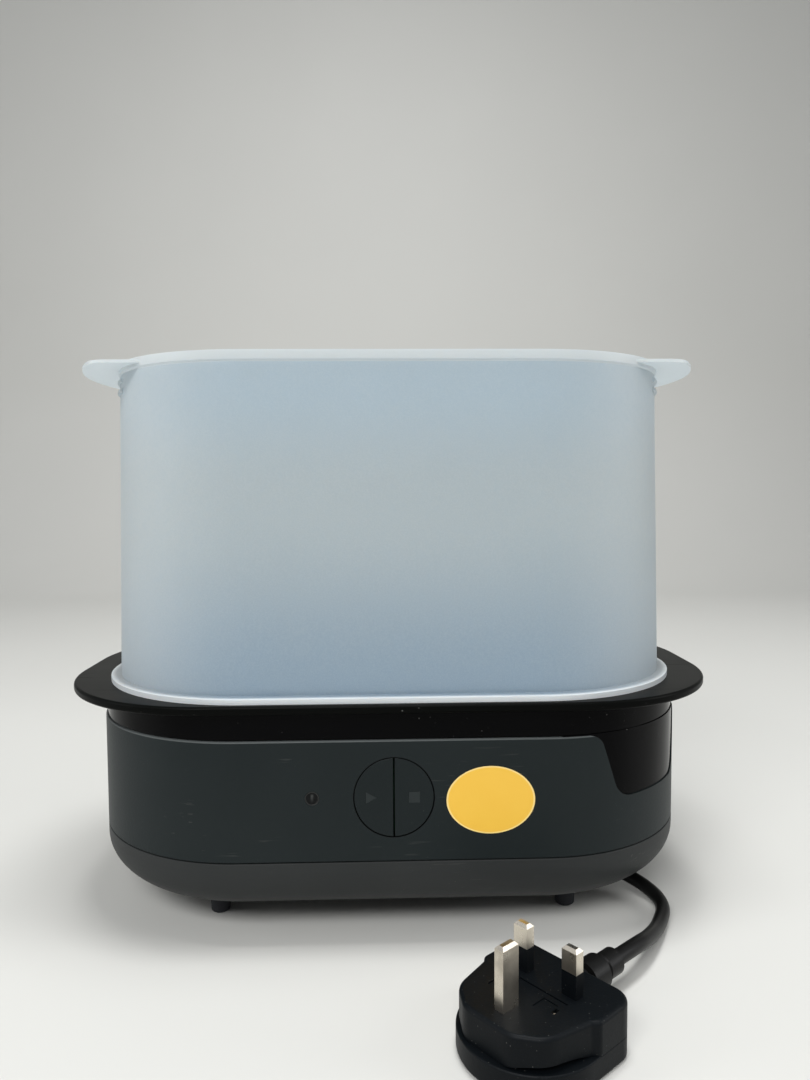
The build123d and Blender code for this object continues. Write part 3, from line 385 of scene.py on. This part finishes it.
def rubbery(name, colour, rough):
    """Cord sheath and feet: soft sheen, a fine skin and settled dust on top."""
    finish = Finish(name)
    skin = finish.noise(1300, 2)
    flecks = dust(finish, 520, 0.2)
    shade = finish.blend(flecks * 0.4 + finish.noise(40, 3) * 0.03, colour, paint(120, 120, 118))
    return finish.done(
        finish.shader(
            Base_Color=shade,
            Roughness=rough + skin * 0.12 + flecks * 0.2,
            Specular_IOR_Level=0.14,
            Normal=finish.bump(skin + flecks * 2, 0.00003),
        )
    )


def printed_film():
    """Amber oval label with a thin pale border and a slight waviness where it is stuck down."""
    finish = Finish("amber_film")
    x, y, z = finish.axes()
    across = (x - LABEL_X) / LABEL_HALF_X
    upward = (z - LABEL_Z) / LABEL_HALF_Z
    radius = (across**2 + upward**2) ** 0.5
    border = radius.step(0.955, 0.967)
    tone = finish.noise(90, 3)
    body = finish.blend(tone * 0.6, paint(252, 203, 76), paint(246, 190, 62))
    body = finish.blend(border, body, paint(255, 222, 140))
    return finish.done(
        finish.shader(
            Base_Color=body,
            Roughness=0.34 + tone * 0.12,
            Normal=finish.bump(finish.noise(70, 2) + finish.noise(900, 1) * 0.1, 0.0002, 0.4),
        )
    )


def smoked_lens():
    """Near-black lens with a painted highlight streak down its middle and a faint painted
    highlight round its rim.
    """
    finish = Finish("smoked_lens")
    x, y, z = finish.axes()
    across, upward = x - LENS_X, z - SIGN_Z
    reach = (across**2 + upward**2) ** 0.5
    # Painted highlights: a faint pale ring near the rim and a soft vertical streak through the
    # middle.
    rim = reach.step(2.45 * MM, 2.75 * MM)
    painted_highlight_streak = abs(across).step(0.9 * MM, 0.1 * MM) * upward.step(-2.2 * MM, 1.4 * MM)
    painted_highlight_streak = painted_highlight_streak * upward.step(2.3 * MM, 1.2 * MM)
    haze = finish.noise(1500, 2)
    shade = finish.blend(haze * 0.06 + painted_highlight_streak * 0.42, paint(5, 6, 7), paint(92, 94, 93))
    shade = finish.blend(rim * 0.16, shade, paint(118, 120, 118))
    return finish.done(
        finish.shader(
            Base_Color=shade,
            Roughness=0.14 + haze * 0.12,
            Specular_IOR_Level=0.1,
            Normal=finish.bump(haze * 0.1 + rim, 0.0002),
        )
    )


FINISHES = {
    "shell_grey": moulded(
        "shell_grey", paint(45, 47, 47), paint(53, 55, 55), 0.42, specks=0.16, scuffs=0.18
    ),
    "panel_slate": moulded(
        "panel_slate",
        paint(28, 34, 35),
        paint(33, 39, 40),
        0.38,
        scuffs=0.14,
        # Painted highlight along the panel's top edge.
        painted_highlight_edge=PANEL_TOP,
    ),
    "gloss_black": polished("gloss_black", paint(2, 2, 3), 0.06, 0.05),
    "deck_dark": polished("deck_dark", paint(8, 9, 8), 0.3, 0.03, 1.0),
    "button_black": moulded(
        "button_black", paint(26, 32, 33), paint(30, 36, 37), 0.36, 1200, marks=button_signs
    ),
    "frosted_clear": frosted(),
    "natural_white": moulded(
        "natural_white", paint(208, 212, 212), paint(196, 201, 202), 0.45, specks=0.0, sheen=0.5
    ),
    "sticker_amber": printed_film(),
    "foot_rubber": rubbery("foot_rubber", paint(44, 45, 49), 0.6),
    "seal_silicone": rubbery("seal_silicone", paint(170, 168, 160), 0.5),
    "cord_black": rubbery("cord_black", paint(6, 6, 6), 0.3),
    "plug_black": moulded(
        "plug_black", paint(6, 9, 12), paint(11, 15, 18), 0.4, 1100, specks=0.3, sheen=0.1
    ),
    "pin_metal": metal("pin_metal", paint(206, 198, 184), 0.12, (1, 1, 0.1)),
    "stainless": metal("stainless", paint(186, 186, 184), 0.22),
    "zinc_steel": metal("zinc_steel", paint(170, 170, 168), 0.3),
    "cast_alloy": metal("cast_alloy", paint(186, 187, 188), 0.4, (1, 1, 1)),
    "phenolic": moulded("phenolic", paint(48, 36, 30), paint(60, 46, 38), 0.5),
    "board_green": moulded("board_green", paint(26, 84, 48), paint(34, 100, 58), 0.3, 300),
    "relay_blue": moulded("relay_blue", paint(38, 84, 150), paint(44, 94, 160), 0.35),
    "can_aluminium": metal("can_aluminium", paint(190, 190, 192), 0.25),
    "lamination": metal("lamination", paint(92, 92, 96), 0.45, (1, 40, 1)),
    "lens_clear": smoked_lens(),
    "led_epoxy": moulded("led_epoxy", paint(190, 120, 96), paint(200, 132, 110), 0.2, 200),
    "fitting_white": moulded("fitting_white", paint(214, 214, 208), paint(200, 200, 194), 0.45),
    "fuse_ceramic": moulded("fuse_ceramic", paint(150, 140, 124), paint(140, 130, 114), 0.3, 200),
}

for part in frame["record"]["subparts"]:
    thing = bpy.data.objects[part["node"]]
    finish = FINISHES[part["material_slot"]]
    if thing.material_slots:
        for slot in thing.material_slots:
            slot.material = finish
    else:
        thing.data.materials.append(finish)


# ---- Cord ----
CORD_WIDTH = 6.5 * MM
EXIT_TURN = radians(44.3)
STORE_Z = 15.25
TURNS = 3
POINTS_PER_TURN = 16
FIRST_TURN = 29.0
TURN_PITCH = 7.3
SPLINE_INSET = 0.981  # the spline runs this far out between the hub and its control points


def stored(x, y):
    """A point of the cord store, turned from the hub's own axes to the part's."""
    c, s = cos(EXIT_TURN), sin(EXIT_TURN)
    return Vector((c * x - s * y, s * x + c * y, STORE_Z)) * MM


def cord_points():
    """Out of the hub, three turns round it, along the channel and over the worktop."""
    points = [stored(6.5, 16.0), stored(10.5, 16.0), stored(17.3, 16.0)]
    points += [stored(24.7, 11.7), stored(29.0, 4.3)]
    for step in range(TURNS * POINTS_PER_TURN):
        turns = (step + 0.5) / POINTS_PER_TURN
        reach = (FIRST_TURN + TURN_PITCH * turns) / SPLINE_INSET
        angle = -2 * pi * turns
        points.append(stored(reach * cos(angle), reach * sin(angle)))
    points += [stored(50.9, -6.5), stored(50.9, -38.0)]
    lay = [
        (88.0, -17.5, 14.6),
        (101.9, -33.6, 12.3),
        (119.3, -46.9, 9.0),
        (127.9, -62.6, 4.6),
        (118.3, -81.7, 4.2),
        (108.3, -98.0, 8.3),
        (98.18, -110.94, 12.2),
        (86.64, -120.52, 12.2),
    ]
    return points + [Vector(point) * MM for point in lay]


def make_cord():
    curve = bpy.data.curves.new("mains_cord", "CURVE")
    curve.dimensions = "3D"
    spline = curve.splines.new("NURBS")
    points = cord_points()
    spline.points.add(len(points) - 1)
    for control, point in zip(spline.points, points):
        control.co = (*point, 1.0)
    spline.order_u = 3
    spline.use_endpoint_u = True
    spline.resolution_u = 8
    curve.bevel_depth = CORD_WIDTH / 2
    curve.bevel_resolution = 6
    curve.use_fill_caps = True
    cord = bpy.data.objects.new("mains_cord", curve)
    bpy.context.collection.objects.link(cord)
    cord.data.materials.append(FINISHES["cord_black"])
    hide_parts("cord", "cord_winding")
    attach(cord, "base")
    tuple(stored(6.5, 16.0))


make_cord()


# ---- Setting ----
def make_sweep():
    """Pale floor that sweeps up into a backdrop."""
    mesh = bpy.data.meshes.new("sweep")
    bend, reach, depth, height = 0.5, 3.0, 1.1, 2.6
    side = [(-reach, 0.0), (depth, 0.0)]
    bend_steps = 16
    for step in range(1, bend_steps + 1):
        angle = step / bend_steps * pi / 2
        side.append((depth + bend * sin(angle), bend * (1 - cos(angle))))
    side.append((depth + bend, height))
    corners = [(x, y, z) for y, z in side for x in (-reach, reach)]
    faces = [(2 * i, 2 * i + 1, 2 * i + 3, 2 * i + 2) for i in range(len(side) - 1)]
    mesh.from_pydata(corners, [], faces)
    for face in mesh.polygons:
        face.use_smooth = True
    sweep = bpy.data.objects.new("sweep", mesh)
    bpy.context.collection.objects.link(sweep)
    finish = Finish("pale_surface")
    tone = finish.noise(3, 2)
    shade = finish.blend(tone, paint(207, 207, 203), paint(212, 212, 208))
    mesh.materials.append(finish.done(finish.shader(Base_Color=shade, Roughness=0.55)))


def make_surround():
    """Pale surround: its full tone where it is seen or mirrored, a soft light elsewhere."""
    world = bpy.data.worlds.new("surround")
    bpy.context.scene.world = world
    world.use_nodes = True
    sky = Nodes(world.node_tree)
    tint = (0.95, 0.97, 1.0, 1.0)
    light = sky.node("ShaderNodeBackground", (), {"Color": tint, "Strength": 0.17})
    wall = sky.node("ShaderNodeBackground", (), {"Color": tint, "Strength": 0.7})
    rays = ("Is Camera Ray", "Is Glossy Ray", "Is Transmission Ray")
    seen, shiny, through = [sky.node("ShaderNodeLightPath", out=ray) for ray in rays]
    both = sky.node("ShaderNodeMixShader", (), {0: seen + shiny + through, 1: light, 2: wall})
    sky.node("ShaderNodeOutputWorld", (), {"Surface": both})


def lamp(name, place, width, height, power, spread):
    """Soft box aimed at the middle of the base; spread is its beam in degrees."""
    data = bpy.data.lights.new(name, "AREA")
    data.shape = "RECTANGLE"
    data.size, data.size_y, data.energy = width, height, power
    data.spread = radians(spread)
    thing = bpy.data.objects.new(name, data)
    bpy.context.collection.objects.link(thing)
    thing.location = place
    aim = Vector((0, 0, 0.12)) - Vector(place)
    thing.rotation_euler = aim.to_track_quat("-Z", "Y").to_euler()


make_sweep()
make_surround()
lamp("key", (-0.6, -1.8, 1.7), 1.6, 0.7, 16.8, 115)
lamp("right", (1.5, -0.3, 0.75), 0.6, 0.9, 3, 120)
lamp("left", (-1.5, -0.4, 0.6), 0.6, 0.9, 1.7, 120)
lamp("overhead", (0.05, -0.1, 1.9), 0.6, 0.4, 22, 180)
bpy.context.scene.view_settings.view_transform = "Standard"
